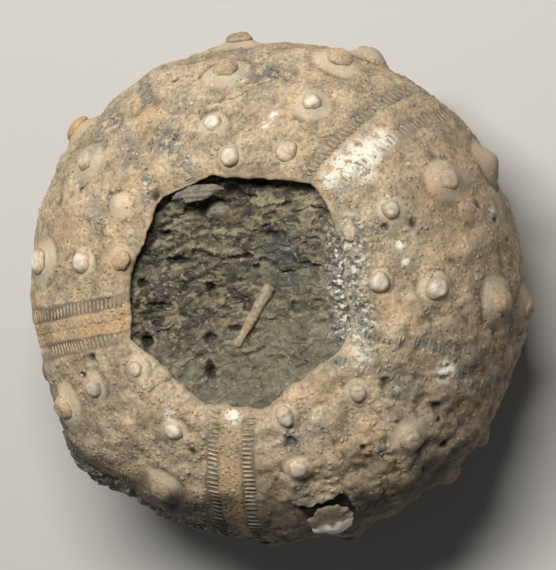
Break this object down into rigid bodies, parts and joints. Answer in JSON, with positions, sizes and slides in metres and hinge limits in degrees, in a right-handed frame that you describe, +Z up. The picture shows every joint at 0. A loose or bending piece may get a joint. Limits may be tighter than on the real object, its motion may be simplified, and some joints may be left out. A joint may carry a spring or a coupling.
{
  "type": "fossil sea urchin",
  "caption": "Round fossil sea urchin shell lying mouth up, studded with tubercles and banded by rows of pores, filled with dark hardened sediment.",
  "frame": {"origin": "on the surface that the shell rests on, under the middle of its bounding box", "axes": "+Z up, along the shell's axis and out of its open mouth; +X and +Y level"},
  "size_m": [0.0437, 0.0427, 0.0245],
  "materials": {
    "shell_calcite": "weathered tan calcite, granular, with grey stains",
    "sediment": "rough dark olive-brown mudstone",
    "fragment_calcite": "worn pale calcite"
  },
  "bodies": {
    "root": {"shell": "shell_calcite", "sediment_infill": "sediment", "spine_fragment": "fragment_calcite", "rim_plate": "fragment_calcite", "shell_chip": "shell_calcite"}
  },
  "joints": []
}
